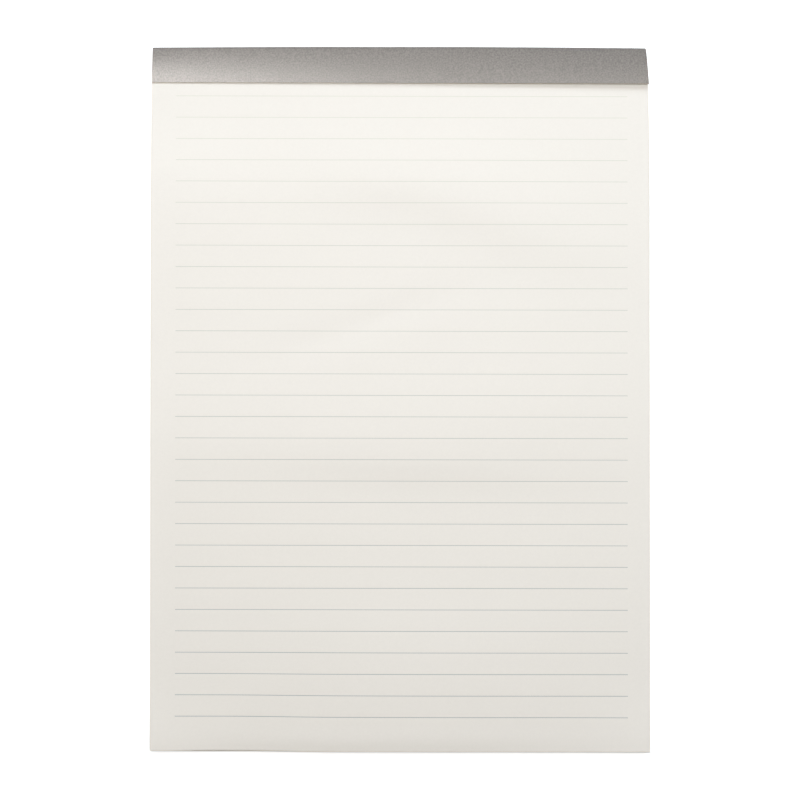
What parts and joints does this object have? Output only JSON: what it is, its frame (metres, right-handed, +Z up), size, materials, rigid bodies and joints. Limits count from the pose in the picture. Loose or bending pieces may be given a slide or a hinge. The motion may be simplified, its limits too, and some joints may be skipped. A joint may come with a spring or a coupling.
{
  "type": "ruled writing pad",
  "caption": "A4 ruled writing pad: a thin block of ruled sheets on a stiff kraft board, bound along its head by a folded grey paper band.",
  "frame": {"origin": "under the middle of the pad, on the surface that it lies on", "axes": "+Z up through the sheets, +Y along the sheets towards the bound head, +X to the right of the page"},
  "size_m": [0.21, 0.2974, 0.0075],
  "materials": {
    "sheets": "matte",
    "board": "matte",
    "band": "satin",
    "glue": "satin",
    "ink": "matte"
  },
  "bodies": {
    "root": {"page_block": "sheets", "backing_board": "board", "binding_band": "band", "padding_glue": "glue", "ruled_lines": "ink"}
  },
  "joints": []
}
